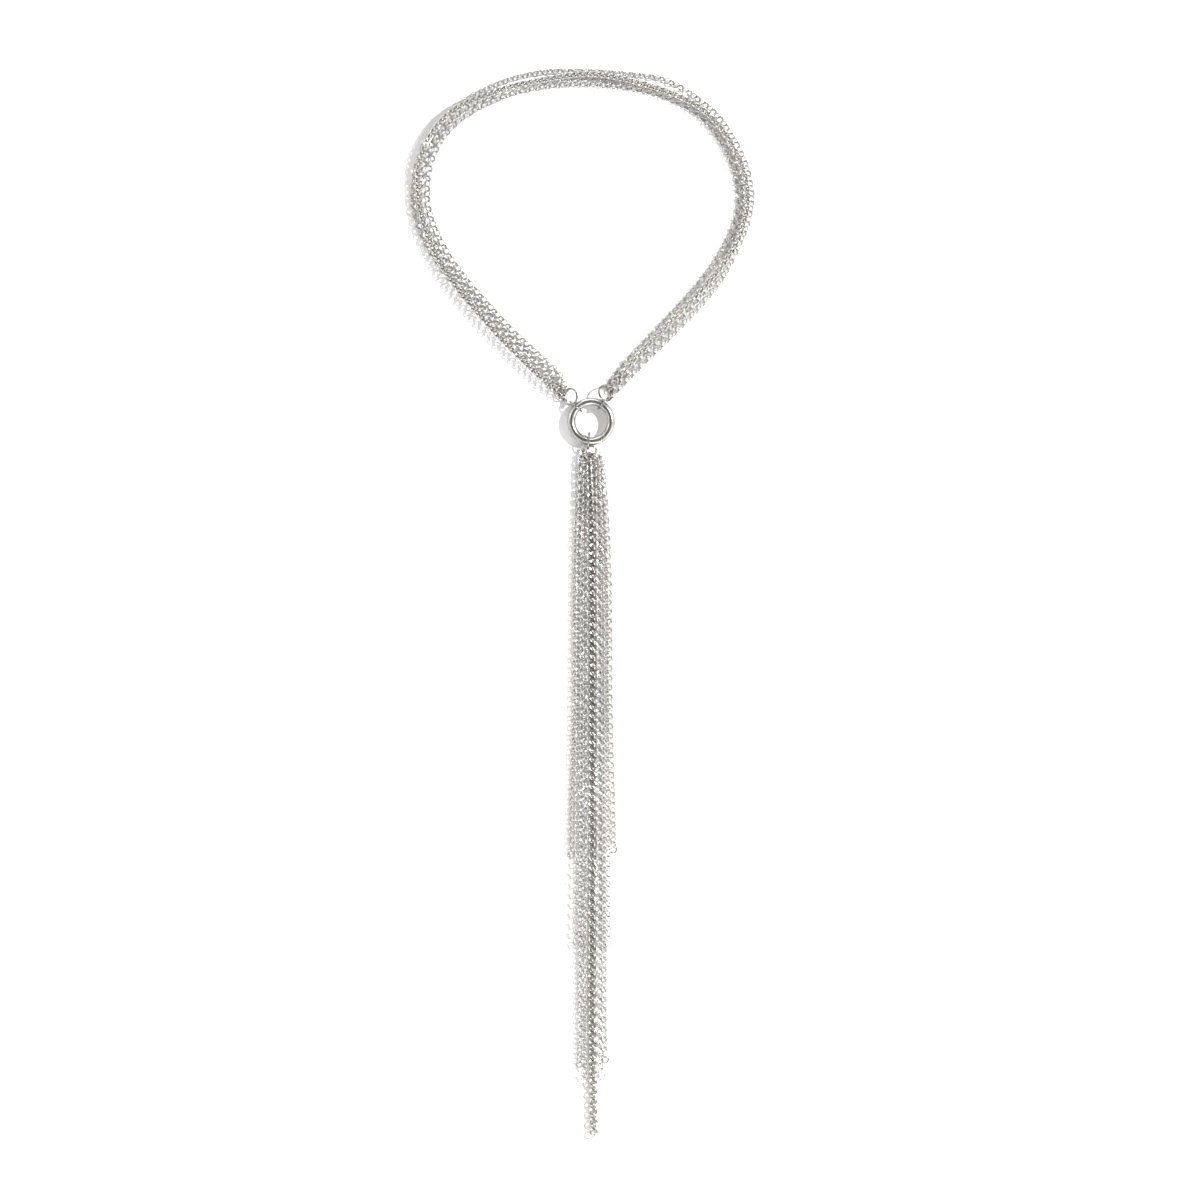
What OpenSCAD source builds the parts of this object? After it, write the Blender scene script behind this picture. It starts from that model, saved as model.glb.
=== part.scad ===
// Necklace of fine chains lying on a table: a neck loop of four strands,
// a round clasp ring with a sprung gate, and a long tassel of nine strands.
// Millimetres, +Z up, the table is z = 0, the tassel points to -Y.

/* [Clasp ring] */
// Outer diameter of the clasp ring
ring_outer_d = 20; // [19.6:0.1:20.2]
// Diameter of the clasp ring's round tube
ring_tube_d = 3.4; // [3.2:0.1:3.5]
// Height of the clasp ring's middle above the table
ring_rise = 3.6; // [3.5:0.05:3.7]
// Thickness of the gate's hinge tongue
tongue_t = 1.1; // [0.9:0.05:1.2]
// Diameter of the hinge pin
pin_d = 0.9; // [0.7:0.05:1]

/* [Small rings] */
// Outer diameter of the two links between clasp ring and neck rings
side_link_d = 7; // [6.9:0.1:7.2]
// Outer diameter of the link between clasp ring and tassel ring
tassel_link_d = 7.6; // [7.5:0.1:7.8]
// Wire diameter of the three links
link_wire_d = 0.85; // [0.8:0.05:0.9]
// Outer diameter of the two rings that gather the neck strands
neck_ring_d = 7.6; // [7.5:0.1:7.7]
// Wire diameter of the two neck rings
neck_ring_wire_d = 0.9; // [0.8:0.05:0.95]
// Outer diameter of the ring that gathers the tassel strands
tassel_ring_d = 5.6; // [5.5:0.1:5.8]
// Wire diameter of the tassel ring
tassel_ring_wire_d = 0.75; // [0.7:0.05:0.8]

/* [Chains] */
// Outer diameter of a fine chain strand
fine_d = 2.5; // [2.2:0.05:2.5]
// Outer diameter of the heavy neck strand
heavy_d = 2.7; // [2.4:0.05:2.7]
// Outer diameter of one link of the heavy tassel chain
big_link_d = 3.9; // [3.8:0.02:3.92]
// Wire diameter of the heavy tassel chain
big_wire_d = 0.8; // [0.7:0.02:0.82]
// Distance from one heavy link to the next
big_pitch = 2.02; // [2.01:0.01:2.06]

/* [Hidden] */

silver = [0.80, 0.80, 0.79];
bright = [0.90, 0.90, 0.90];

// Clasp ring: its middle, and the radius of its tube's centre line
ring_mid = [3.7, 75.8];
ring_r = (ring_outer_d - ring_tube_d) / 2;
tube_r = ring_tube_d / 2;

// Gate: direction of the hinge pin and of the far side of the gate's sector
hinge_at = 236;
sector_end = 335;
pin_mid = ring_r * [cos(hinge_at), sin(hinge_at)];
cheek_r = 1.6;
hinge_gap = 0.25;
tongue_gap = 0.1;
tongue_r = 1.3;
tongue_w = 2;
slot_r = 1.45;
slot_back = 0.3;
running_gap = 0.05;
// Latch: radii about the pin of the lip's face and of the nose's face, and the step
lip_r = 9.05;
nose_r = 10.05;
step_y = -6.75;
latch_gap = 0.14;
// Seam of the hinge's cover: where it starts and ends, its width and its depth
seam_start = 194;
seam_end = 228;
seam_w = 0.14;
seam_depth = 0.14;

// Place of each small link on the clasp ring, and the way it points
left_at = 136;
left_az = 140;
right_at = 57;
right_az = 47;
tassel_at = 262;
tassel_az = 266;
link_rise = side_link_d / 2 + 0.05;
tassel_link_rise = tassel_link_d / 2;

// A point of the clasp ring's centre line
function on_ring(a) = [ring_mid[0] + ring_r * cos(a), ring_mid[1] + ring_r * sin(a)];

function away(az, reach) = reach * [cos(az), sin(az)];

// The side links are pulled outwards until they lie near the tube's inner side
side_pull = side_link_d / 2 - link_wire_d - tube_r - 0.3;
left_link_mid = concat(on_ring(left_at) + away(left_az, side_pull), link_rise);
right_link_mid = concat(on_ring(right_at) + away(right_az, side_pull), link_rise);
tassel_link_mid = concat(on_ring(tassel_at), tassel_link_rise);

// Where a ring's wire crosses the outer end of its link: gap to the link's wire,
// and then how far out and how far up from the link's middle
side_gap = 0.6;
tassel_gap = 0.45;
left_catch = [side_link_d / 2 - link_wire_d - neck_ring_wire_d / 2 - side_gap, 0.95];
right_catch = [side_link_d / 2 - link_wire_d - neck_ring_wire_d / 2 - side_gap, 1.1];
tassel_catch = [tassel_link_d / 2 - link_wire_d - tassel_ring_wire_d / 2 - tassel_gap, 0.8];

// A small ring is [middle, roll, dip, azimuth]; azimuth and dip are its long way's
neck_ring_r = (neck_ring_d - neck_ring_wire_d) / 2;
tassel_ring_r = (tassel_ring_d - tassel_ring_wire_d) / 2;
neck_ring_roll = 37;
left_ring_dip = 14;
left_ring_az = 107;
right_ring_dip = 24;
right_ring_az = 94;
tassel_ring_roll = 25;
tassel_ring_dip = 22;
tassel_ring_az = 298;

function hung(link_mid, link_az, catch, roll, dip, az, r) =
  [link_mid + concat(away(link_az, catch[0]), catch[1]) + r * long_way(dip, az), roll, dip, az];

function long_way(dip, az) = [cos(az) * cos(dip), sin(az) * cos(dip), -sin(dip)];

function turned(p, az) = [p[0] * cos(az) - p[1] * sin(az), p[0] * sin(az) + p[1] * cos(az), p[2]];

function cross_way(roll, dip, az) =
  turned([sin(roll) * sin(dip), cos(roll), sin(roll) * cos(dip)], az);

// A point in the plane of a small ring, at an angle from its long way
function ring_point(ring, a, reach) =
  ring[0] + reach * (cos(a) * long_way(ring[2], ring[3]) + sin(a) * cross_way(ring[1], ring[2], ring[3]));

left_ring = hung(left_link_mid, left_az, left_catch, -neck_ring_roll, left_ring_dip, left_ring_az,
  neck_ring_r);
right_ring = hung(right_link_mid, right_az, right_catch, neck_ring_roll, right_ring_dip,
  right_ring_az, neck_ring_r);
tassel_hoop = hung(tassel_link_mid, tassel_az, tassel_catch, tassel_ring_roll, tassel_ring_dip,
  tassel_ring_az, tassel_ring_r);

// Strands: a tube of eight sides, thinner where it meets its ring
sides = 8;
ring_step = 6.5;
end_r = 0.35;
tassel_end_r = 0.26;
end_reach = 0.35;
end_lift = 0.35;
neck_lift = 0.05;
fine_z = 1.3;

// Route of the neck's strands, from the left ring over the top to the right ring.
// Columns: x and y of the band's middle, then how far outwards the inner, middle,
// outer and heavy strand lie, and how high the heavy strand lies on the others.
NECK = [
  [-12.5, 93.6, -3.3, -0.8, 1.7, 2.9, 3.7],
  [-19, 99.2, -3.8, -0.9, 1.7, 2.5, 3.9],
  [-26, 105.6, -3.8, -1, 1.6, 2.2, 4],
  [-33.5, 113.2, -3.5, -0.9, 1.7, 2.2, 4],
  [-41.5, 122.2, -3.3, -0.7, 1.9, 2.2, 4],
  [-49.5, 131.4, -3.2, -0.6, 2, 2.1, 4],
  [-57.5, 142, -3.2, -0.5, 2.2, 1.7, 4],
  [-63.8, 153.5, -3.1, 0, 2.9, 0.9, 4],
  [-67.2, 163.5, -3, 0.2, 3.1, 0.5, 4],
  [-68.1, 172.5, -3, 0.2, 3, 0.7, 3.95],
  [-67.1, 182, -3, -0.2, 2.6, 1.6, 3.9],
  [-64, 191.5, -3.1, -0.5, 2.2, 1.8, 3.95],
  [-57.8, 200.7, -3.2, -0.6, 2.1, 1.8, 3.95],
  [-50, 207, -3.1, -0.5, 2.3, 1.6, 3.9],
  [-41.5, 211.5, -2.9, -0.3, 2.8, 0.8, 3.8],
  [-31.5, 215.4, -2.6, 0, 3.3, 0.3, 3.95],
  [-22.5, 217.7, -2.6, 0, 3.5, 0.2, 3.95],
  [-12.5, 219.45, -2.7, -0.1, 3.3, 0.3, 3.95],
  [-2, 220.05, -2.8, -0.1, 2.6, 1.2, 3.8],
  [8, 219.85, -2.8, -0.1, 2.6, 1.3, 3.8],
  [20, 218.45, -2.8, -0.1, 3, 0.4, 3.95],
  [31, 216, -2.7, -0.1, 4, -0.3, 3.95],
  [39.5, 212.9, -2.7, -0.1, 3.6, -0.3, 3.95],
  [47.2, 208.6, -2.5, 0.1, 2.8, 0.2, 3.95],
  [54.3, 202.3, -2.2, 0.4, 3, 0.6, 3.95],
  [60.8, 193.3, -2.2, 0.4, 3, 0.9, 3.9],
  [66, 182.5, -2.5, 0.1, 2.8, 1, 3.85],
  [68.1, 171, -2.5, 0.2, 3, 1.1, 3.9],
  [66.8, 160.5, -2.5, 0.1, 2.8, 1.2, 3.85],
  [62, 149.3, -2.3, 0.4, 3.1, 1.7, 3.9],
  [54.8, 137.8, -2.3, 1.4, 4.1, 0.8, 4],
  [45.2, 126, -2.3, 1.5, 4.2, 0, 3.65],
  [36.8, 116.4, -2.7, 1, 3.6, -0.8, 3.5],
  [28, 107, -2.8, 0.5, 3.1, -1, 3.5],
  [19.6, 98.2, -2.6, 0.2, 2.8, -0.9, 3.5]
];
// Columns of NECK
INNER = 2;
MIDDLE = 3;
OUTER = 4;
HEAVY = 5;
HEAVY_Z = 6;
// Where each strand meets the left and the right ring, as an angle from its long way
inner_ends = [15, -18];
middle_ends = [38, -62];
outer_ends = [61, -84];
heavy_ends = [84, -40];

// Spread of the tassel. Columns: distance below the ring, x of the tassel's middle,
// how far from it strands 1 to 4 lie, height of the lower and of the upper strands,
// and a fine strand's radius as a share of its full one.
TASSEL = [
  [4, 3.5, 2.6, 3.4, 4.1, 4.8, 1.9, 3.1, 0.4],
  [12, 3.7, 2.75, 3.6, 4.45, 5.3, 1.5, 3.1, 0.62],
  [20, 3.85, 2.8, 3.85, 4.85, 5.9, 1.35, 3.2, 0.78],
  [34, 4, 2.95, 4.15, 5.35, 6.5, 1.3, 3.4, 0.9],
  [54, 4.1, 2.95, 4.35, 5.7, 7.05, 1.3, 3.4, 0.94],
  [80, 4.2, 3, 4.4, 5.85, 7.3, 1.3, 3.5, 1],
  [105, 4.2, 3, 4.5, 5.9, 7.4, 1.3, 3.5, 1],
  [130, 4.2, 3.05, 4.6, 6.1, 8, 1.3, 3.5, 1],
  [150, 4.2, 3.1, 4.7, 6.3, 8.6, 1.3, 3.5, 1],
  [175, 4.2, 3.2, 4.85, 6.4, 9, 1.3, 3.5, 1],
  [200, 4.1, 3.3, 5, 6.6, 9.2, 1.3, 3.5, 1],
  [225, 4, 3.3, 4.95, 6.6, 9.2, 1.3, 3.4, 1],
  [245, 4.1, 3.3, 5, 6.6, 9.2, 1.3, 3.4, 1],
  [262, 4.4, 3.6, 5.6, 6.6, 9.2, 1.3, 3.1, 1],
  [290, 4.8, 3.9, 6.4, 6.6, 9.2, 1.3, 3.1, 1]
];
LOWER_Z = 6;
UPPER_Z = 7;
SHARE = 8;
tassel_top = 62.9;
// The point of the ring that is nearest the tassel, as an angle from its long way
hang = 270 - tassel_ring_az;
// Strands of one side: column of TASSEL, place on the ring, height column, and
// how far below the ring's middle the left one and the right one end
STRANDS = [
  [2, 28, UPPER_Z, 266, 264.5],
  [3, 46, LOWER_Z, 260.5, 257],
  [4, 66, UPPER_Z, 208.5, 208],
  [5, 88, LOWER_Z, 172, 170]
];

// Heavy tassel chain
big_r = (big_link_d - big_wire_d) / 2;
big_start = ring_point(tassel_hoop, hang, tassel_ring_r)
  - [0, big_r - big_wire_d / 2 - tassel_ring_wire_d / 2 - 0.15, 0];
big_end_y = -224.3;
big_count = floor((big_start[1] - big_end_y - big_link_d / 2) / big_pitch) + 1;
big_low = 1.56;
big_settle = 30;

function big_x(drop) =
  lookup(drop, concat([[tassel_top - big_start[1], big_start[0]]], [for (row = TASSEL) [row[0], row[1]]]));

function unit(v) = v / norm(v);

// Smooth curve through points: quarter-step formula of four neighbours
function between(a, b, c, d, t) =
  0.5 * ((2 * b) + (c - a) * t + (2 * a - 5 * b + 4 * c - d) * t * t + (3 * b - a - 3 * c + d) * t * t * t);

function smooth(p, step) = [
  for (i = [0:len(p) - 2])
    let(
      a = p[max(i - 1, 0)],
      d = p[min(i + 2, len(p) - 1)],
      n = max(1, round(norm([for (k = [0:2]) p[i + 1][k] - p[i][k]]) / step)))
      for (j = [0:n - 1]) between(a, p[i], p[i + 1], d, j / n),
  p[len(p) - 1]
];

// Tube through points [x, y, z, radius]
module tube(p) {
  n = len(p);
  at = [for (q = p) [q[0], q[1], q[2]]];
  points = [
    for (i = [0:n - 1])
      let(
        along = unit(at[min(i + 1, n - 1)] - at[max(i - 1, 0)]),
        side = unit(cross(along, [0, 0, 1])),
        up = cross(side, along))
        for (k = [0:sides - 1])
          at[i] + p[i][3] * (cos(360 * k / sides) * side + sin(360 * k / sides) * up)
  ];
  faces = concat(
    [[for (k = [sides - 1:-1:0]) k]],
    [for (i = [0:n - 2]) for (k = [0:sides - 1])
      [i * sides + k, i * sides + (k + 1) % sides, (i + 1) * sides + (k + 1) % sides]],
    [for (i = [0:n - 2]) for (k = [0:sides - 1])
      [i * sides + k, (i + 1) * sides + (k + 1) % sides, (i + 1) * sides + k]],
    [[for (k = [0:sides - 1]) (n - 1) * sides + k]]
  );
  polyhedron(points, faces);
}

// Neck strands
function neck_way(i) = unit([
  NECK[min(i + 1, len(NECK) - 1)][0] - NECK[max(i - 1, 0)][0],
  NECK[min(i + 1, len(NECK) - 1)][1] - NECK[max(i - 1, 0)][1]
]);

function neck_point(i, column, full) =
  let(way = neck_way(i), out = NECK[i][column])
  [
    NECK[i][0] - way[1] * out,
    NECK[i][1] + way[0] * out,
    column == HEAVY ? NECK[i][HEAVY_Z] : fine_z,
    full
  ];

function neck_end(ring, a) = concat(
  ring_point(ring, a, neck_ring_r + neck_ring_wire_d / 2 + end_reach) + [0, 0, neck_lift],
  end_r
);

function neck_route(column, ends, full) = concat(
  [neck_end(left_ring, ends[0])],
  [for (i = [0:len(NECK) - 1])
    neck_point(i, column, i == 0 || i == len(NECK) - 1 ? 0.8 * full : full)],
  [neck_end(right_ring, ends[1])]
);

module neck_strand(column, ends, full) {
  tube(smooth(neck_route(column, ends, full), ring_step));
}

// Tassel strands
function tassel_route(strand, side, drop) = concat(
  [concat(
    ring_point(tassel_hoop, hang + side * strand[1], tassel_ring_r + tassel_ring_wire_d / 2 + end_reach)
      + [0, 0, strand[2] == UPPER_Z ? end_lift : -end_lift],
    tassel_end_r
  )],
  [for (row = TASSEL) if (row[0] < drop - 5) tassel_point(row, strand, side)],
  [tassel_point(lookup_row(drop), strand, side)]
);

function lookup_row(drop) = [
  for (k = [0:len(TASSEL[0]) - 1])
    k == 0 ? drop : lookup(drop, [for (row = TASSEL) [row[0], row[k]]])
];

function tassel_point(row, strand, side) = [
  row[1] + side * row[strand[0]],
  tassel_top - row[0],
  row[strand[2]],
  row[SHARE] * fine_d / 2
];

module tassel_chain_left(k) {
  color(silver) tube(smooth(tassel_route(STRANDS[k - 1], -1, STRANDS[k - 1][3]), ring_step));
}

module tassel_chain_right(k) {
  color(silver) tube(smooth(tassel_route(STRANDS[k - 1], 1, STRANDS[k - 1][4]), ring_step));
}

module hoop(outer_d, wire_d) {
  rotate_extrude($fn = 64)
    translate([(outer_d - wire_d) / 2, 0])
      circle(d = wire_d, $fn = 24);
}

module placed(ring) {
  translate(ring[0]) rotate([ring[1], ring[2], ring[3]]) children();
}

// Clasp ring, drawn about its own middle
module ring_tube() {
  rotate_extrude($fn = 96)
    translate([ring_r, 0])
      circle(d = ring_tube_d, $fn = 48);
}

module at_pin() {
  translate([pin_mid[0], pin_mid[1], 0]) children();
}

// The part of the ring's plane that the gate takes, drawn in by a gap
module gate_zone(gap) {
  far = 2 * ring_outer_d;
  linear_extrude(height = 2 * ring_tube_d, center = true)
    intersection() {
      polygon([
        [0, 0],
        far * [cos(hinge_at), sin(hinge_at)],
        far * [cos(285), sin(285)],
        far * [cos(sector_end), sin(sector_end)]
      ]);
      union() {
        translate(pin_mid) circle(r = lip_r - gap, $fn = 128);
        intersection() {
          translate(pin_mid) circle(r = nose_r - gap, $fn = 128);
          translate([-far, step_y + gap / 2]) square([2 * far, far]);
        }
      }
    }
}

// Slot between the hinge's two cheeks, open towards the gate
module tongue_slot() {
  slot_t = tongue_t + 2 * tongue_gap;
  at_pin() {
    cylinder(r = slot_r, h = slot_t, center = true, $fn = 64);
    rotate([0, 0, hinge_at + 90])
      translate([tube_r, 0, 0])
        cube([ring_tube_d + 2 * slot_back, 2 * ring_tube_d, slot_t], center = true);
  }
}

// Seam of the hinge's cover: along the top of the tube, and across its outer half
module cover_seam() {
  rotate([0, 0, seam_start])
    rotate_extrude(angle = seam_end - seam_start, $fn = 96)
      translate([ring_r - seam_w / 2, tube_r - seam_depth])
        square([seam_w, 1]);
  rotate([0, 0, seam_start])
    translate([ring_r, -seam_w / 2, 0])
      intersection() {
        rotate([-90, 0, 0])
          difference() {
            cylinder(r = tube_r + 1, h = seam_w, $fn = 48);
            translate([0, 0, -1]) cylinder(r = tube_r - seam_depth, h = seam_w + 2, $fn = 48);
          }
        translate([0, -1, -0.6]) cube([tube_r + 2, 2, tube_r + 2]);
      }
}

module clasp_ring() {
  color(bright)
    translate([ring_mid[0], ring_mid[1], ring_rise])
      difference() {
        ring_tube();
        difference() {
          gate_zone(0);
          at_pin() cylinder(r = cheek_r, h = 3 * ring_tube_d, center = true, $fn = 64);
        }
        tongue_slot();
        cover_seam();
        at_pin() cylinder(d = pin_d + 0.02, h = 2 * ring_tube_d, center = true, $fn = 48);
      }
}

module clasp_gate() {
  color(bright)
    translate([ring_mid[0], ring_mid[1], ring_rise])
      difference() {
        union() {
          difference() {
            intersection() {
              ring_tube();
              gate_zone(latch_gap);
            }
            at_pin() cylinder(r = cheek_r + hinge_gap, h = 3 * ring_tube_d, center = true, $fn = 64);
          }
          at_pin() {
            cylinder(r = tongue_r, h = tongue_t, center = true, $fn = 64);
            rotate([0, 0, hinge_at + 90])
              translate([1.4, 0, 0])
                cube([2.8, tongue_w, tongue_t], center = true);
          }
        }
        at_pin() cylinder(d = pin_d + 2 * running_gap, h = 2 * ring_tube_d, center = true, $fn = 48);
      }
}

module gate_pin() {
  color(silver)
    translate([ring_mid[0] + pin_mid[0], ring_mid[1] + pin_mid[1], ring_rise])
      cylinder(d = pin_d, h = ring_tube_d - 0.1, center = true, $fn = 48);
}

module link_left() {
  color(silver) placed([left_link_mid, 90, 0, left_az]) hoop(side_link_d, link_wire_d);
}

module link_right() {
  color(silver) placed([right_link_mid, 90, 0, right_az]) hoop(side_link_d, link_wire_d);
}

module link_tassel() {
  color(silver) placed([tassel_link_mid, 90, 0, tassel_az]) hoop(tassel_link_d, link_wire_d);
}

module neck_ring_left() {
  color(silver) placed(left_ring) hoop(neck_ring_d, neck_ring_wire_d);
}

module neck_ring_right() {
  color(silver) placed(right_ring) hoop(neck_ring_d, neck_ring_wire_d);
}

module tassel_ring() {
  color(silver) placed(tassel_hoop) hoop(tassel_ring_d, tassel_ring_wire_d);
}

module neck_chain_inner() {
  color(silver) neck_strand(INNER, inner_ends, fine_d / 2);
}

module neck_chain_middle() {
  color(silver) neck_strand(MIDDLE, middle_ends, fine_d / 2);
}

module neck_chain_outer() {
  color(silver) neck_strand(OUTER, outer_ends, fine_d / 2);
}

module neck_chain_heavy() {
  color(silver) neck_strand(HEAVY, heavy_ends, heavy_d / 2);
}

// Links of the heavy tassel chain stand crosswise, upright at the ring and
// leaning half way over once the chain has come down on the table
module tassel_chain_heavy() {
  color(silver)
    for (i = [0:big_count - 1])
      let(
        y = big_start[1] - i * big_pitch,
        settled = min(1, i * big_pitch / big_settle))
        translate([big_x(tassel_top - y), y, big_start[2] + (big_low - big_start[2]) * settled])
          rotate([0, 90 - 45 * settled + 90 * (i % 2), 0])
            hoop(big_link_d, big_wire_d);
}

clasp_ring();
clasp_gate();
gate_pin();
link_left();
link_right();
link_tassel();
neck_ring_left();
neck_ring_right();
tassel_ring();
neck_chain_inner();
neck_chain_middle();
neck_chain_outer();
neck_chain_heavy();
tassel_chain_heavy();
tassel_chain_left(1);  // tassel_chain_left_1
tassel_chain_left(2);  // tassel_chain_left_2
tassel_chain_left(3);  // tassel_chain_left_3
tassel_chain_left(4);  // tassel_chain_left_4
tassel_chain_right(1);  // tassel_chain_right_1
tassel_chain_right(2);  // tassel_chain_right_2
tassel_chain_right(3);  // tassel_chain_right_3
tassel_chain_right(4);  // tassel_chain_right_4
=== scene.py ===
"""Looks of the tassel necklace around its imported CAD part.

Routes and tables repeat the part's own numbers, in millimetres and degrees. Meshes are
made in metres.
"""
import math

import bmesh
import bpy
import numpy as np
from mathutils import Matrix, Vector


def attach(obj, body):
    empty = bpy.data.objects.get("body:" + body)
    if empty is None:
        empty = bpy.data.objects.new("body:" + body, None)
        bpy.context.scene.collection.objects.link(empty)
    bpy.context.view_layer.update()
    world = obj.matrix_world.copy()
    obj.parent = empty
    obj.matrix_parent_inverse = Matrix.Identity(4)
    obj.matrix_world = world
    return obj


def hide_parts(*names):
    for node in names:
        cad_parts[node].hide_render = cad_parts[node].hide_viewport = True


MM = 0.001
UP = np.array([0.0, 0.0, 1.0])

# Clasp ring
RING_MID = np.array([3.7, 75.8])
RING_R = 8.3
TUBE_R = 1.7

# Links and small rings: outer diameters and wires
SIDE_LINK_D = 7.0
TASSEL_LINK_D = 7.6
LINK_WIRE = 0.85
NECK_RING_D = 7.6
NECK_RING_WIRE = 0.9
TASSEL_RING_D = 5.6
TASSEL_RING_WIRE = 0.75
SIDE_PULL_GAP = 0.3
SIDE_LINK_LIFT = 0.05
# Where each link goes round the clasp's tube, and which way it points
LEFT_AT, LEFT_AZ = 136, 140
RIGHT_AT, RIGHT_AZ = 57, 47
TASSEL_AT, TASSEL_AZ = 262, 266
# Where a ring's wire crosses the outer end of its link: gap to the link's wire, and rise
LEFT_CATCH = (0.6, 0.95)
RIGHT_CATCH = (0.6, 1.1)
TASSEL_CATCH = (0.45, 0.8)
# Roll, dip and direction of the three rings
LEFT_RING = (-37, 14, 107)
RIGHT_RING = (37, 24, 94)
TASSEL_RING = (25, 22, 298)
# Sides along and across a ring's wire, gap at its butt seam, and how the wire is rounded
# off there: share of its thickness, and length
RING_SIDES = (96, 24)
SEAM_GAP = 0.05
SEAM_WIRE, SEAM_ROUND = 0.82, 0.06

# Chain links: outer diameter, wire, and sides along and across the wire
FINE_LINK = (3.25, 0.5, 20, 8)
NECK_LINK = (3.3, 0.5, 20, 8)
HEAVY_LINK = (3.35, 0.72, 24, 10)
BIG_LINK = (4.05, 0.86, 30, 12)
FINE_Z = 1.3
FLOOR_GAP = 0.12
HANG_GAP = 0.03

# How links lie: roll about the strand and lean off it, first of every even link and then
# of every odd one, which is turned about a right angle from it
NECK_POSE = ((140, 6), (50, -17))
FINE_POSE = ((140, 6), (50, -17))
HEAVY_POSE = ((140, 17), (50, -20))
BIG_TIGHT = ((150, -18), (58, -20))
BIG_MIDDLE = ((150, -15), (58, -18))
BIG_LOOSE = ((150, -8), (58, -18))
# Slow twist of a strand: share and length of two waves, and range of their start.
# Unevenness of roll and lean, and the lengths over which they leave the first link's,
# which is square to its ring
TWIST_WAVES = ((0.6, 37), (0.4, 13))
WAVE_START = 6.28
UNEVEN = 1.2
ROLL_SETTLE, LEAN_SETTLE = 12, 5
# Drop of a strand's last link, which lies flat, and its gap to the floor
LAST_DROP, LAST_GAP = 1.0, 0.1

# x and y of the neck band's middle, outward offsets of the inner, middle, outer and
# heavy strand, and the heavy strand's height
NECK = np.array([
    [-12.5, 93.6, -3.3, -0.8, 1.7, 2.9, 3.7],
    [-19, 99.2, -3.8, -0.9, 1.7, 2.5, 3.9],
    [-26, 105.6, -3.8, -1, 1.6, 2.2, 4],
    [-33.5, 113.2, -3.5, -0.9, 1.7, 2.2, 4],
    [-41.5, 122.2, -3.3, -0.7, 1.9, 2.2, 4],
    [-49.5, 131.4, -3.2, -0.6, 2, 2.1, 4],
    [-57.5, 142, -3.2, -0.5, 2.2, 1.7, 4],
    [-63.8, 153.5, -3.1, 0, 2.9, 0.9, 4],
    [-67.2, 163.5, -3, 0.2, 3.1, 0.5, 4],
    [-68.1, 172.5, -3, 0.2, 3, 0.7, 3.95],
    [-67.1, 182, -3, -0.2, 2.6, 1.6, 3.9],
    [-64, 191.5, -3.1, -0.5, 2.2, 1.8, 3.95],
    [-57.8, 200.7, -3.2, -0.6, 2.1, 1.8, 3.95],
    [-50, 207, -3.1, -0.5, 2.3, 1.6, 3.9],
    [-41.5, 211.5, -2.9, -0.3, 2.8, 0.8, 3.8],
    [-31.5, 215.4, -2.6, 0, 3.3, 0.3, 3.95],
    [-22.5, 217.7, -2.6, 0, 3.5, 0.2, 3.95],
    [-12.5, 219.45, -2.7, -0.1, 3.3, 0.3, 3.95],
    [-2, 220.05, -2.8, -0.1, 2.6, 1.2, 3.8],
    [8, 219.85, -2.8, -0.1, 2.6, 1.3, 3.8],
    [20, 218.45, -2.8, -0.1, 3, 0.4, 3.95],
    [31, 216, -2.7, -0.1, 4, -0.3, 3.95],
    [39.5, 212.9, -2.7, -0.1, 3.6, -0.3, 3.95],
    [47.2, 208.6, -2.5, 0.1, 2.8, 0.2, 3.95],
    [54.3, 202.3, -2.2, 0.4, 3, 0.6, 3.95],
    [60.8, 193.3, -2.2, 0.4, 3, 0.9, 3.9],
    [66, 182.5, -2.5, 0.1, 2.8, 1, 3.85],
    [68.1, 171, -2.5, 0.2, 3, 1.1, 3.9],
    [66.8, 160.5, -2.5, 0.1, 2.8, 1.2, 3.85],
    [62, 149.3, -2.3, 0.4, 3.1, 1.7, 3.9],
    [54.8, 137.8, -2.3, 1.4, 4.1, 0.8, 4],
    [45.2, 126, -2.3, 1.5, 4.2, 0, 3.65],
    [36.8, 116.4, -2.7, 1, 3.6, -0.8, 3.5],
    [28, 107, -2.8, 0.5, 3.1, -1, 3.5],
    [19.6, 98.2, -2.6, 0.2, 2.8, -0.9, 3.5],
])
HEAVY, HEAVY_Z = 5, 6
# Step along a smooth route, and reach to either side for its direction
ROUTE_STEP = 0.8
WAY_REACH = 0.6

# Distance below the tassel's top, x of its middle, offsets of strands 1 to 4, and
# heights of the lower and upper strands
TASSEL_TOP = 62.9
TASSEL = np.array([
    [4, 3.5, 2.6, 3.4, 4.1, 4.8, 1.9, 3.1],
    [12, 3.7, 2.75, 3.6, 4.45, 5.3, 1.5, 3.1],
    [20, 3.85, 2.8, 3.85, 4.85, 5.9, 1.35, 3.2],
    [34, 4, 2.95, 4.15, 5.35, 6.5, 1.3, 3.4],
    [54, 4.1, 2.95, 4.35, 5.7, 7.05, 1.3, 3.4],
    [80, 4.2, 3, 4.4, 5.85, 7.3, 1.3, 3.5],
    [105, 4.2, 3, 4.5, 5.9, 7.4, 1.3, 3.5],
    [130, 4.2, 3.05, 4.6, 6.1, 8, 1.3, 3.5],
    [150, 4.2, 3.1, 4.7, 6.3, 8.6, 1.3, 3.5],
    [175, 4.2, 3.2, 4.85, 6.4, 9, 1.3, 3.5],
    [200, 4.1, 3.3, 5, 6.6, 9.2, 1.3, 3.5],
    [225, 4, 3.3, 4.95, 6.6, 9.2, 1.3, 3.4],
    [245, 4.1, 3.3, 5, 6.6, 9.2, 1.3, 3.4],
    [262, 4.4, 3.6, 5.6, 6.6, 9.2, 1.3, 3.1],
    [290, 4.8, 3.9, 6.4, 6.6, 9.2, 1.3, 3.1],
])
LOWER_Z, UPPER_Z = 6, 7
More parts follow.
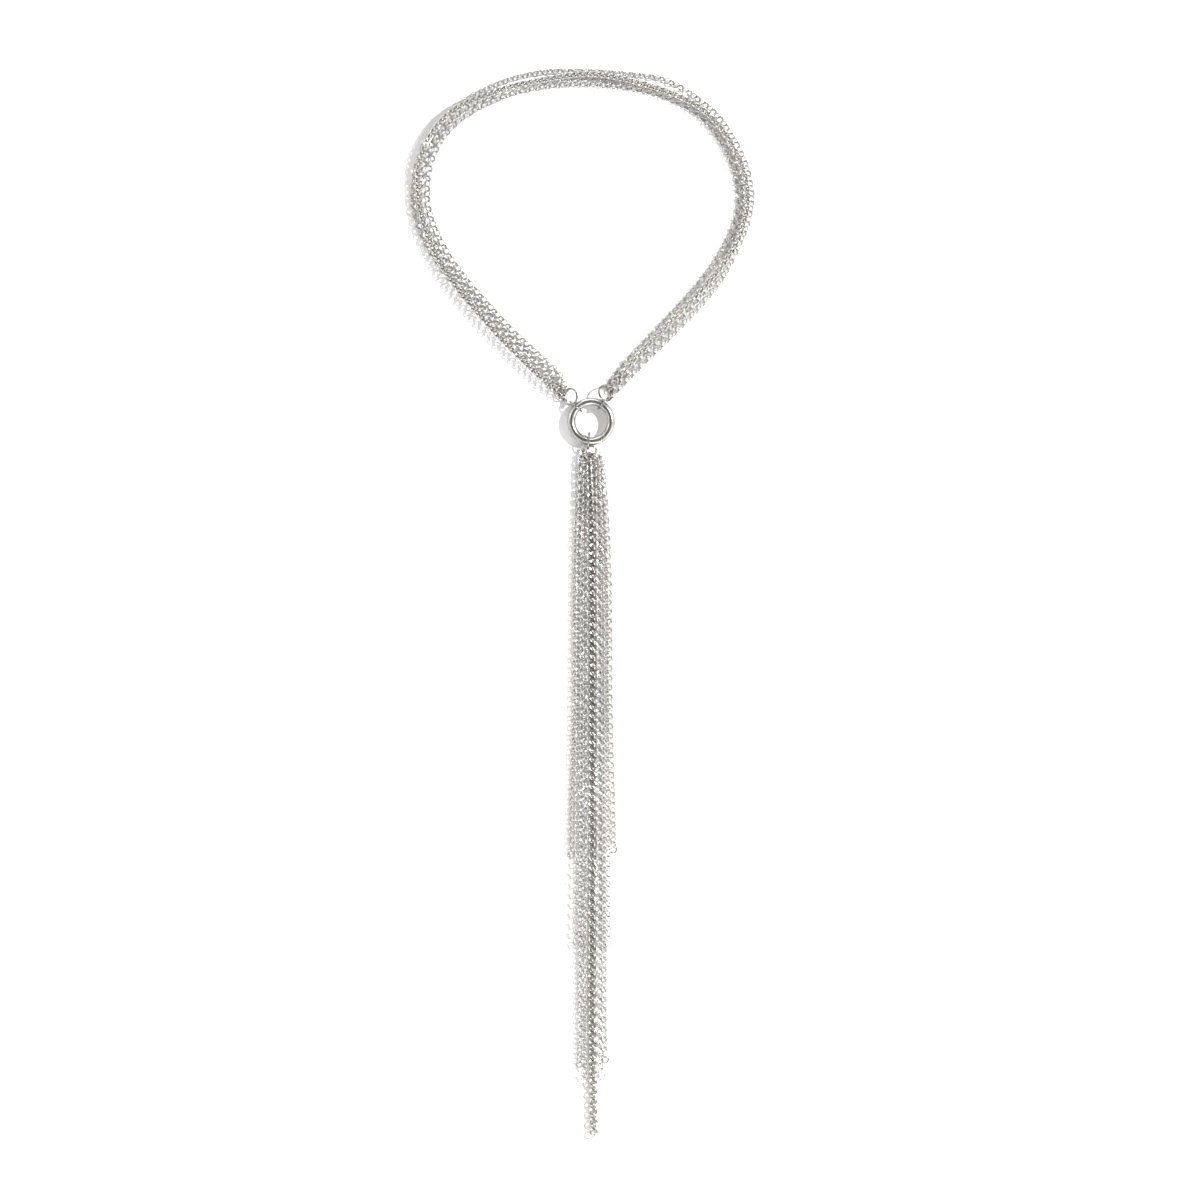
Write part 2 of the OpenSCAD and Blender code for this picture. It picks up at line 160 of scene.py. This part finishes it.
# Least space between a strand's last row and the one before, and its end past that row
ROW_SPACE = 5
END_PAST = 1.45
# The heavy strand: height, length over which it comes down from its ring, gap to the
# ring's wire, and limit of its end
BIG_LOW = 1.8
BIG_SETTLE = 30
BIG_HANG_GAP = 0.15
BIG_END_Y = -224.6
# Lengths along it, with the shares of its three poses there
BIG_AT = (0, 90, 130, 190, 260)
BIG_SHARES = ((1, 0.9, 0, 0, 0), (0, 0.1, 1, 1, 0), (0, 0, 0, 0, 1))

# Neck strands: node, column, places on the two rings, link, pose, and twist and seed
NECK_STRANDS = [
    ("neck_chain_inner", 2, (15, -18), NECK_LINK, NECK_POSE, 8, 11),
    ("neck_chain_middle", 3, (38, -62), NECK_LINK, NECK_POSE, 8, 12),
    ("neck_chain_outer", 4, (61, -84), NECK_LINK, NECK_POSE, 8, 13),
    ("neck_chain_heavy", 5, (84, -40), HEAVY_LINK, HEAVY_POSE, 5, 14),
]
# Pitch of the heavy neck strand at rows of NECK, and of the others all the way
HEAVY_PITCH = ([0, 6, 8, 28, 30], [1.51, 1.5, 1.36, 1.36, 1.56])
NECK_PITCH = 2.14
# Tassel strands of one side: column, place on the ring, height column, and drop, twist
# and seed of the left and the right one
TASSEL_STRANDS = [
    (2, 28, UPPER_Z, (266, 6, 21), (264.5, 6, 31)),
    (3, 46, LOWER_Z, (260.5, 8, 22), (257, 8, 32)),
    (4, 66, UPPER_Z, (208.5, 7, 23), (208, 7, 33)),
    (5, 88, LOWER_Z, (172, 8, 24), (170, 8, 34)),
]
# Pitch along the tassel, from its ring down: fine strands and the heavy one
FINE_PITCH = ([0, 15, 50, 130, 180], [1.82, 1.86, 1.93, 2.07, 2.1])
BIG_PITCH = ([0, 55, 120, 185, 290], [1.627, 1.647, 1.868, 1.928, 2.089])

# Metals: noise levels that count, coarser noise for the tone, its dull end against the
# bright one, and depth of the scratches in metres
NOISE_LOW, NOISE_HIGH = 0.3, 0.7
TONE_COARSER = 9
DULL = (0.86, 0.845, 0.82)
SCRATCH = 0.00003
# Edges sharper than this stay sharp on the clasp, and nearer points are joined (metres)
SHARP = 28
JOIN = 2e-6

# Studio, in metres: floor, key light, tent, camera
FLOOR_HALF, FLOOR_Z = 2.5, -0.00002
KEY_AT, KEY_SIZE, KEY_POWER = (0.88, 0.42, 0.96), 0.1, 34
# Tent's light by height, from the horizon to overhead
SKY = [(0.0, (0.8, 0.795, 0.785)), (0.16, (1.4, 1.39, 1.37)), (0.3, (2.5, 2.48, 2.45)),
       (0.74, (2.5, 2.48, 2.45)), (0.83, (0.32, 0.31, 0.295)), (1.0, (0.3, 0.29, 0.28))]
# Its bright strips: number, azimuth of the first, wave's low and high, and light there
STRIPS = (2, 120, -0.8, 0.6, 0.5, 1.2)
# Its patches: noise scale, noise's low and high, and light there
PATCH_SCALE, PATCHES = 2.6, (0.4, 0.6, 0.3, 1.35)
# Heights between which strips and patches end below the plain top
TOP_FROM, TOP_TO = 0.93, 0.995
# The camera looks straight down from here; width of the picture there, and sensor in mm
CAMERA_AT = (0.00735, 0.00084, 3.0)
PICTURE_SPAN, SENSOR = 0.504, 36


# Vectors and routes
def unit(v):
    v = np.asarray(v, float)
    return v / np.linalg.norm(v, axis=-1, keepdims=True)


def away(azimuth, reach):
    """Step in the floor's plane."""
    a = math.radians(azimuth)
    return reach * np.array([math.cos(a), math.sin(a)])


def flat(xy, z):
    return np.array([xy[0], xy[1], z], float)


def long_way(dip, azimuth):
    """Direction that dips below the level."""
    d = math.radians(dip)
    return flat(away(azimuth, math.cos(d)), -math.sin(d))


def cross_way(roll, dip, azimuth):
    """Direction square to the long way, turned about it by the roll."""
    r, d, a = (math.radians(x) for x in (roll, dip, azimuth))
    x, y = math.sin(r) * math.sin(d), math.cos(r)
    return np.array([x * math.cos(a) - y * math.sin(a), x * math.sin(a) + y * math.cos(a),
                     math.sin(r) * math.cos(d)])


class Hoop:
    """A round wire ring: middle, two directions in its plane, radius and wire."""

    def __init__(self, middle, long, cross, outer_d, wire):
        self.middle, self.long, self.cross = middle, long, cross
        self.r, self.wire = (outer_d - wire) / 2, wire
        self.normal = np.cross(long, cross)

    def out(self, angle):
        a = math.radians(angle)
        return math.cos(a) * self.long + math.sin(a) * self.cross

    def tangent(self, angle):
        a = math.radians(angle)
        return -math.sin(a) * self.long + math.cos(a) * self.cross


def upright_link(at, azimuth, outer_d, rise, pull):
    """A link standing round the clasp's tube, pulled outwards along its azimuth."""
    middle = flat(RING_MID + away(at, RING_R) + away(azimuth, pull), rise)
    return Hoop(middle, flat(away(azimuth, 1), 0), UP, outer_d, LINK_WIRE)


def hung_ring(link, azimuth, outer_d, wire, catch, turns):
    """A ring hanging in the outer end of an upright link."""
    gap, rise = catch
    roll, dip, ring_azimuth = turns
    reach = link.r - LINK_WIRE / 2 - wire / 2 - gap
    near = link.middle + flat(away(azimuth, reach), rise)
    long = long_way(dip, ring_azimuth)
    return Hoop(near + (outer_d - wire) / 2 * long, long, cross_way(roll, dip, ring_azimuth),
                outer_d, wire)


def smooth(points, step):
    """Catmull-Rom curve through the points."""
    p = np.asarray(points, float)
    out = []
    for i in range(len(p) - 1):
        a, b, c, d = p[max(i - 1, 0)], p[i], p[i + 1], p[min(i + 2, len(p) - 1)]
        n = max(1, round(np.linalg.norm(c - b) / step))
        for j in range(n):
            t = j / n
            out.append(0.5 * (2 * b + (c - a) * t + (2 * a - 5 * b + 4 * c - d) * t * t
                              + (3 * b - a - 3 * c + d) * t ** 3))
    out.append(p[-1])
    return np.array(out)


def run_along(line):
    """Length along a polyline at each of its points."""
    return np.concatenate([[0], np.cumsum(np.linalg.norm(np.diff(line, axis=0), axis=1))])


def stations(line, pitch_at):
    """Points and directions along a polyline, spaced by a pitch that may change."""
    run = run_along(line)
    s, at = [], 0.0
    while at <= run[-1]:
        s.append(at)
        at += pitch_at(at)
    s = np.array(s)
    behind, point, ahead = (
        np.stack([np.interp(s + shift, run, line[:, k]) for k in range(3)], 1)
        for shift in (-WAY_REACH, 0, WAY_REACH))
    return s, point, unit(ahead - behind)


# Meshes
def mesh_object(name, verts, quads):
    """A smooth-shaded mesh from vertices in millimetres and four-sided faces."""
    mesh = bpy.data.meshes.new(name)
    mesh.vertices.add(len(verts))
    mesh.vertices.foreach_set("co", (np.asarray(verts) * MM).astype(np.float32).ravel())
    mesh.loops.add(quads.size)
    mesh.loops.foreach_set("vertex_index", quads.astype(np.int32).ravel())
    mesh.polygons.add(len(quads))
    mesh.polygons.foreach_set("loop_start", np.arange(0, quads.size, 4, dtype=np.int32))
    mesh.polygons.foreach_set("use_smooth", np.ones(len(quads), bool))
    mesh.update(calc_edges=True)
    mesh.validate()
    obj = bpy.data.objects.new(name, mesh)
    bpy.context.scene.collection.objects.link(obj)
    return obj


def grid_quads(i, j, along, across):
    """Four-sided faces between the rows and columns of closed grids."""
    i_next, j_next = (i + 1) % along, (j + 1) % across
    quads = np.stack([i * across + j, i_next * across + j,
                      i_next * across + j_next, i * across + j_next], -1)
    return quads.reshape(-1, 4)


def tori(middle, u, v, r, wire, along, across):
    """Many closed wire rings at once: vertices and faces."""
    w = np.cross(u, v)
    a = np.linspace(0, 2 * math.pi, along, endpoint=False)
    b = np.linspace(0, 2 * math.pi, across, endpoint=False)
    radial = u[:, None, :] * np.cos(a)[None, :, None] + v[:, None, :] * np.sin(a)[None, :, None]
    reach = r + wire / 2 * np.cos(b)
    verts = (middle[:, None, None, :] + radial[:, :, None, :] * reach[None, None, :, None]
             + w[:, None, None, :] * (wire / 2 * np.sin(b))[None, None, :, None])
    i, j = np.meshgrid(np.arange(along), np.arange(across), indexing="ij")
    quad = grid_quads(i, j, along, across)
    offset = np.arange(len(middle))[:, None, None] * (along * across)
    return verts.reshape(-1, 3), (quad[None] + offset).reshape(-1, 4)


def link_ways(way, roll, lean):
    """Directions in each link's plane: along the strand and across it."""
    side = unit(np.cross(UP, way))
    up = np.cross(way, side)
    v = side * np.cos(roll)[:, None] + up * np.sin(roll)[:, None]
    w = np.cross(way, v)
    return way * np.cos(lean)[:, None] + w * np.sin(lean)[:, None], v


def by_turns(pose, n):
    """Roll and lean of n links that take the two halves of a pose in turn."""
    odd = np.arange(n) % 2 == 1
    return tuple(np.where(odd, pose[1][k], pose[0][k]).astype(float) for k in (0, 1))


def chain(name, line, link, pitch_at, pose, twist, seed, first_normal, last_flat=False):
    """Links along a line, turned by turns, with the first one square to its ring."""
    outer_d, wire, along, across = link
    rng = np.random.default_rng(seed)
    s, point, way = stations(line, pitch_at)
    n = len(s)
    roll, lean = by_turns(pose, n)
    for part, length in TWIST_WAVES:
        roll += twist * part * np.sin(s / length + rng.uniform(0, WAVE_START))
    roll += rng.normal(0, UNEVEN, n)
    lean = (lean + rng.normal(0, UNEVEN, n)) * (1 - np.exp(-s / LEAN_SETTLE))
    side = unit(np.cross(UP, way[0]))
    up = np.cross(way[0], side)
    start = math.degrees(math.atan2(first_normal @ up, first_normal @ side)) - 90
    roll += ((start - roll[0] + 90) % 180 - 90) * np.exp(-s / ROLL_SETTLE)
    u, v = link_ways(way, np.radians(roll), np.radians(lean))
    if last_flat:
        u[-1] = unit(way[-1] * [1, 1, 0])
        v[-1] = np.cross(UP, u[-1])
        point[-1, 2] = max(wire / 2 + LAST_GAP, point[-1, 2] - LAST_DROP)
    r = (outer_d - wire) / 2
    depth = r * np.sqrt(u[:, 2] ** 2 + v[:, 2] ** 2) + wire / 2
    point[:, 2] = np.maximum(point[:, 2], depth + FLOOR_GAP)
    verts, quads = tori(point, u, v, r, wire, along, across)
    return mesh_object(name, verts, quads)


# Materials
def silver(name, base, rough, spread, scale, bump, edge):
    """Polished metal with fine scratches and small changes of gloss and tone.

    Its base colour, least roughness and the spread above it, scale of the scratches,
    strength of the relief, and how bright its glancing edges are.
    """
    mat = bpy.data.materials.new(name)
    mat.use_nodes = True
    nodes, links = mat.node_tree.nodes, mat.node_tree.links
    shader = nodes["Principled BSDF"]
    shader.inputs["Metallic"].default_value = 1.0
    shader.inputs["Specular Tint"].default_value = (edge, edge, edge, 1)
    place = nodes.new("ShaderNodeTexCoord")
    fine = nodes.new("ShaderNodeTexNoise")
    fine.inputs["Scale"].default_value = scale
    fine.inputs["Detail"].default_value = 3.0
    links.new(place.outputs["Object"], fine.inputs["Vector"])
    gloss = nodes.new("ShaderNodeMapRange")
    gloss.inputs["From Min"].default_value = NOISE_LOW
    gloss.inputs["From Max"].default_value = NOISE_HIGH
    gloss.inputs["To Min"].default_value = rough
    gloss.inputs["To Max"].default_value = rough + spread
    links.new(fine.outputs["Fac"], gloss.inputs["Value"])
    links.new(gloss.outputs["Result"], shader.inputs["Roughness"])
    wide = nodes.new("ShaderNodeTexNoise")
    wide.inputs["Scale"].default_value = scale / TONE_COARSER
    wide.inputs["Detail"].default_value = 2.0
    links.new(place.outputs["Object"], wide.inputs["Vector"])
    tone = nodes.new("ShaderNodeMix")
    tone.data_type = "RGBA"
    tone.inputs["A"].default_value = (*base, 1)
    tone.inputs["B"].default_value = (*[b * d for b, d in zip(base, DULL)], 1)
    links.new(wide.outputs["Fac"], tone.inputs["Factor"])
    links.new(tone.outputs["Result"], shader.inputs["Base Color"])
    relief = nodes.new("ShaderNodeBump")
    relief.inputs["Strength"].default_value = bump
    relief.inputs["Distance"].default_value = SCRATCH
    links.new(fine.outputs["Fac"], relief.inputs["Height"])
    links.new(relief.outputs["Normal"], shader.inputs["Normal"])
    return mat


def dress(obj, material, node, body="necklace"):
    """Give a piece its metal and body, and let it stand for its CAD node."""
    obj.data.materials.clear()
    obj.data.materials.append(material)
    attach(obj, body)
    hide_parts(node)


# The pieces
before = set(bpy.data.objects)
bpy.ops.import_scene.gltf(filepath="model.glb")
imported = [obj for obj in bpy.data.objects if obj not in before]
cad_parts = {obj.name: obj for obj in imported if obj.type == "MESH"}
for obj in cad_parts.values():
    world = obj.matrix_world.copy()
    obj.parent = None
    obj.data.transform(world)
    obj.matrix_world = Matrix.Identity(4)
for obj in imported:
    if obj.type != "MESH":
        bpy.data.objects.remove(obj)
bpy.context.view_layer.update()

CLASP = silver("clasp_silver", (0.48, 0.476, 0.468), 0.17, 0.08, 1500, 0.12, 0.03)
WIRE = silver("ring_silver", (0.36, 0.356, 0.35), 0.06, 0.06, 1800, 0.2, 0.1)
LINKS = silver("chain_silver", (0.57, 0.56, 0.545), 0.05, 0.05, 2500, 0.15, 0.4)
# The heavy tassel chain's silver, painted lighter to make up for the shade that the fine strands
# beside it cast on it
BIG_PAINTED_LIGHTER = silver("heavy_chain_silver_painted_lighter", (0.64, 0.63, 0.615), 0.06, 0.05, 2500, 0.15, 0.35)
# Painted light: the tassel's fine strands take a lighter copy of the chain silver, to make up for
# the shade among the dense tassel strands
FINE_PAINTED_LIGHTER = silver("fine_chain_silver_painted_lighter", (0.7, 0.69, 0.676), 0.05, 0.05, 2500, 0.15, 0.5)

side_pull = SIDE_LINK_D / 2 - LINK_WIRE - TUBE_R - SIDE_PULL_GAP
side_rise = SIDE_LINK_D / 2 + SIDE_LINK_LIFT
link_left = upright_link(LEFT_AT, LEFT_AZ, SIDE_LINK_D, side_rise, side_pull)
link_right = upright_link(RIGHT_AT, RIGHT_AZ, SIDE_LINK_D, side_rise, side_pull)
link_tassel = upright_link(TASSEL_AT, TASSEL_AZ, TASSEL_LINK_D, TASSEL_LINK_D / 2, 0)
ring_left = hung_ring(link_left, LEFT_AZ, NECK_RING_D, NECK_RING_WIRE, LEFT_CATCH, LEFT_RING)
ring_right = hung_ring(link_right, RIGHT_AZ, NECK_RING_D, NECK_RING_WIRE, RIGHT_CATCH, RIGHT_RING)
ring_tassel = hung_ring(link_tassel, TASSEL_AZ, TASSEL_RING_D, TASSEL_RING_WIRE, TASSEL_CATCH,
                        TASSEL_RING)
# The place on the tassel's ring that points straight down the picture
HANG = 270 - TASSEL_RING[2]


def jump_ring(node, hoop, seam_at):
    """A bent wire ring with the fine butt seam where its ends meet."""
    along, across = RING_SIDES
    a0 = math.radians(seam_at) + SEAM_GAP / 2 / hoop.r
    a = np.linspace(a0, a0 + 2 * math.pi - SEAM_GAP / hoop.r, along)
    a[1], a[-2] = a[0] + SEAM_ROUND / hoop.r, a[-1] - SEAM_ROUND / hoop.r
    b = np.linspace(0, 2 * math.pi, across, endpoint=False)
    wire = np.full(along, hoop.wire / 2)
    wire[[0, -1]] *= SEAM_WIRE
    radial = np.cos(a)[:, None] * hoop.long + np.sin(a)[:, None] * hoop.cross
    reach = hoop.r + wire[:, None] * np.cos(b)[None]
    verts = (hoop.middle + radial[:, None, :] * reach[:, :, None]
             + hoop.normal * (wire[:, None] * np.sin(b)[None])[:, :, None]).reshape(-1, 3)
    i, j = np.meshgrid(np.arange(along - 1), np.arange(across), indexing="ij")
    quads = grid_quads(i, j, along, across)
    ends = []
    for row in (0, along - 1):
        base = row * across
        for k in range(across // 2 - 1):
            quad = [base + k, base + k + 1, base + across - 2 - k, base + across - 1 - k]
            ends.append(quad if row else quad[::-1])
    obj = mesh_object(node + "_wire", verts, np.concatenate([quads, np.array(ends)]))
    dress(obj, WIRE, node)


# Each with the place of its seam
jump_ring("link_left", link_left, 60)
jump_ring("link_right", link_right, 115)
jump_ring("link_tassel", link_tassel, 200)
jump_ring("neck_ring_left", ring_left, -60)
jump_ring("neck_ring_right", ring_right, 150)
jump_ring("tassel_ring", ring_tassel, 150)


def first_middle(hoop, angle, link):
    """Middle of a link that hangs on a ring's wire."""
    outer_d, wire = link[:2]
    reach = hoop.r + outer_d / 2 - wire - hoop.wire / 2 - HANG_GAP
    return hoop.middle + hoop.out(angle) * reach


def neck_line(column, places, link):
    """Route of a neck strand from the left ring to the right one."""
    way = np.gradient(NECK[:, :2], axis=0)
    way[1:-1] = NECK[2:, :2] - NECK[:-2, :2]
    way = unit(way)
    out = NECK[:, [column]]
    rows = NECK[:, :2] + out * np.stack([-way[:, 1], way[:, 0]], 1)
    z = NECK[:, HEAVY_Z] if column == HEAVY else np.full(len(NECK), FINE_Z)
    return smooth(np.vstack([first_middle(ring_left, places[0], link), np.column_stack([rows, z]),
                             first_middle(ring_right, places[1], link)]), ROUTE_STEP)


def row_at(line):
    """For each point of a line along the neck, its row in NECK as a real number."""
    middle = smooth(np.column_stack([NECK[:, :2], np.zeros(len(NECK))]), ROUTE_STEP)[:, :2]

    def nearest(points):
        return [int(np.argmin(np.hypot(*(middle - q[:2]).T))) for q in points]

    mark = np.interp(np.arange(len(middle)), nearest(NECK), np.arange(len(NECK)))
    return mark[nearest(line)]


for node, column, places, link, pose, twist, seed in NECK_STRANDS:
    line = neck_line(column, places, link)
    run = run_along(line)
    wanted = np.full(len(run), NECK_PITCH)
    if column == HEAVY:
        wanted = np.interp(row_at(line), *HEAVY_PITCH)
    # The pitch is stretched a little, so that the last link reaches the right ring
    links_along = np.concatenate([[0], np.cumsum(np.diff(run) / wanted[:-1])])[-1]
    share = links_along / round(links_along) * (1 - 1e-6)
    obj = chain(node + "_links", line, link, lambda s: share * np.interp(s, run, wanted),
                pose, twist, seed, ring_left.tangent(places[0]))
    dress(obj, LINKS, node)


def tassel_row(drop):
    """Row of TASSEL between the table's own ones."""
    return np.array([np.interp(drop, TASSEL[:, 0], column) for column in TASSEL.T])


def tassel_line(column, place, height, side, drop):
    """Route of a fine tassel strand from its ring to the middle of its last link."""
    rows = [r for r in TASSEL if r[0] < drop - ROW_SPACE] + [tassel_row(drop)]
    middle = [[r[1] + side * r[column], TASSEL_TOP - r[0], r[height]] for r in rows]
    first = first_middle(ring_tassel, HANG + side * place, FINE_LINK)
    return smooth(np.vstack([first, middle]), ROUTE_STEP)


for k, (column, place, height, left, right) in enumerate(TASSEL_STRANDS, 1):
    for word, side, (drop, twist, seed) in (("left", -1, left), ("right", 1, right)):
        node = f"tassel_chain_{word}_{k}"
        line = tassel_line(column, place, height, side, drop - END_PAST)
        obj = chain(node + "_links", line, FINE_LINK, lambda s: np.interp(s, *FINE_PITCH),
                    FINE_POSE, twist, seed, ring_tassel.tangent(HANG + side * place),
                    last_flat=True)
        dress(obj, FINE_PAINTED_LIGHTER, node)


def heavy_tassel():
    """The heavy chain in the tassel's middle, its links closer together near the ring."""
    r = (BIG_LINK[0] - BIG_LINK[1]) / 2
    start = (ring_tassel.middle + ring_tassel.r * ring_tassel.out(HANG)
             - [0, r - BIG_LINK[1] / 2 - TASSEL_RING_WIRE / 2 - BIG_HANG_GAP, 0])
    drop = [0.0]
    while start[1] - drop[-1] - BIG_LINK[0] / 2 > BIG_END_Y:
        drop.append(drop[-1] + float(np.interp(drop[-1], *BIG_PITCH)))
    drop = np.array(drop[:-1])
    n = len(drop)
    y = start[1] - drop
    x = np.interp(TASSEL_TOP - y, np.append(TASSEL_TOP - start[1], TASSEL[:, 0]),
                  np.append(start[0], TASSEL[:, 1]))
    poses = [by_turns(pose, n) for pose in (BIG_TIGHT, BIG_MIDDLE, BIG_LOOSE)]
    share = [np.interp(drop, BIG_AT, s) for s in BIG_SHARES]
    roll, lean = (sum(w * p[k] for w, p in zip(share, poses)) for k in (0, 1))
    settled = np.minimum(1, drop / BIG_SETTLE)
    upright = np.where(np.arange(n) % 2, 90.0, 180.0)
    upright[0] = 180
    roll = upright + (roll - upright) * settled
    lean = lean * settled
    way = np.tile([0.0, -1.0, 0.0], (n, 1))
    u, v = link_ways(way, np.radians(roll), np.radians(lean))
    depth = r * np.sqrt(u[:, 2] ** 2 + v[:, 2] ** 2) + BIG_LINK[1] / 2
    low = np.maximum(BIG_LOW, depth + FLOOR_GAP)
    z = start[2] + (low - start[2]) * settled
    verts, quads = tori(np.stack([x, y, z], 1), u, v, r, *BIG_LINK[1:])
    return mesh_object("tassel_chain_heavy_links", verts, quads)


dress(heavy_tassel(), BIG_PAINTED_LIGHTER, "tassel_chain_heavy")


def smooth_copy(node, material, body):
    """The CAD piece's own shape, its points joined and its round faces shaded round."""
    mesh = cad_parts[node].data.copy()
    work = bmesh.new()
    work.from_mesh(mesh)
    bmesh.ops.remove_doubles(work, verts=work.verts, dist=JOIN)
    for face in work.faces:
        face.smooth = True
    for edge in work.edges:
        edge.smooth = len(edge.link_faces) == 2 and edge.calc_face_angle(0) < math.radians(SHARP)
    work.to_mesh(mesh)
    work.free()
    if "custom_normal" in mesh.attributes:
        mesh.attributes.remove(mesh.attributes["custom_normal"])
    obj = bpy.data.objects.new(node + "_polished", mesh)
    bpy.context.scene.collection.objects.link(obj)
    dress(obj, material, node, body)


smooth_copy("clasp_ring", CLASP, "necklace")
smooth_copy("clasp_gate", CLASP, "gate")
smooth_copy("gate_pin", WIRE, "necklace")

# Floor, light, camera
floor_mat = bpy.data.materials.new("pale_floor")
floor_mat.use_nodes = True
floor_shader = floor_mat.node_tree.nodes["Principled BSDF"]
floor_shader.inputs["Base Color"].default_value = (0.78, 0.78, 0.785, 1)
floor_shader.inputs["Roughness"].default_value = 0.9
floor_shader.inputs["Specular IOR Level"].default_value = 0.1
corners = [[FLOOR_HALF * x / MM, FLOOR_HALF * y / MM, FLOOR_Z / MM]
           for x, y in ((-1, -1), (1, -1), (1, 1), (-1, 1))]
floor = mesh_object("floor", np.array(corners), np.array([[0, 1, 2, 3]]))
floor.data.materials.append(floor_mat)

# A small light from the upper right, aimed at the middle
key_data = bpy.data.lights.new("key", "AREA")
key_data.shape = "SQUARE"
key_data.size = KEY_SIZE
key_data.energy = KEY_POWER
key = bpy.data.objects.new("key", key_data)
bpy.context.scene.collection.objects.link(key)
key.location = KEY_AT
key.rotation_euler = (-Vector(KEY_AT)).to_track_quat("-Z", "Y").to_euler()
key.visible_camera = False

# A bright tent with strips and patches around, and dim overhead, where the camera is
world = bpy.data.worlds.new("studio")
bpy.context.scene.world = world
world.use_nodes = True
sky, sky_links = world.node_tree.nodes, world.node_tree.links
direction = sky.new("ShaderNodeTexCoord")
parts = sky.new("ShaderNodeSeparateXYZ")
sky_links.new(direction.outputs["Generated"], parts.inputs["Vector"])
height = sky.new("ShaderNodeValToRGB")
sky_links.new(parts.outputs["Z"], height.inputs["Fac"])
ramp = height.color_ramp
for k, (at, tone) in enumerate(SKY):
    stop = ramp.elements[k] if k < 2 else ramp.elements.new(at)
    stop.position = at
    stop.color = (*tone, 1)


def sky_math(kind, first, second):
    """A math node of two values, each a socket or a number."""
    node = sky.new("ShaderNodeMath")
    node.operation = kind
    for k, value in enumerate((first, second)):
        if isinstance(value, (int, float)):
            node.inputs[k].default_value = value
        else:
            sky_links.new(value, node.inputs[k])
    return node.outputs[0]


def sky_map(value, low, high, to_low, to_high):
    """A smooth step between two levels of a value, from one number to another."""
    node = sky.new("ShaderNodeMapRange")
    node.interpolation_type = "SMOOTHSTEP"
    limits = {"From Min": low, "From Max": high, "To Min": to_low, "To Max": to_high}
    for name, number in limits.items():
        node.inputs[name].default_value = number
    sky_links.new(value, node.inputs["Value"])
    return node.outputs["Result"]


def strips(count, first, low, high, dark, bright):
    """Brightness factor around the tent: a number of bright strips, the first at an azimuth."""
    turned = sky_math("SUBTRACT", azimuth, math.radians(first))
    wave = sky_math("COSINE", sky_math("MULTIPLY", turned, float(count)), 0.0)
    return sky_map(wave, low, high, dark, bright)


azimuth = sky_math("ARCTAN2", parts.outputs["Y"], parts.outputs["X"])
patches = sky.new("ShaderNodeTexNoise")
patches.inputs["Scale"].default_value = PATCH_SCALE
patches.inputs["Detail"].default_value = 1.0
sky_links.new(direction.outputs["Generated"], patches.inputs["Vector"])
around = sky_math("MULTIPLY", strips(*STRIPS), sky_map(patches.outputs["Fac"], *PATCHES))
overhead = sky_map(parts.outputs["Z"], TOP_FROM, TOP_TO, 0.0, 1.0)
blend = sky.new("ShaderNodeMix")
sky_links.new(overhead, blend.inputs["Factor"])
sky_links.new(around, blend.inputs["A"])
blend.inputs["B"].default_value = 1.0
tinted = sky.new("ShaderNodeVectorMath")
tinted.operation = "SCALE"
sky_links.new(height.outputs["Color"], tinted.inputs["Vector"])
sky_links.new(blend.outputs["Result"], tinted.inputs["Scale"])
sky_links.new(tinted.outputs["Vector"], sky["Background"].inputs["Color"])
sky["Background"].inputs["Strength"].default_value = 1.0

camera_data = bpy.data.cameras.new("camera")
camera = bpy.data.objects.new("camera", camera_data)
bpy.context.scene.collection.objects.link(camera)
camera_data.sensor_width = SENSOR
camera_data.lens = SENSOR * CAMERA_AT[2] / PICTURE_SPAN
camera_data.clip_start, camera_data.clip_end = 0.05, 20
camera.location = CAMERA_AT
bpy.context.scene.camera = camera
bpy.context.scene.view_settings.view_transform = "Standard"
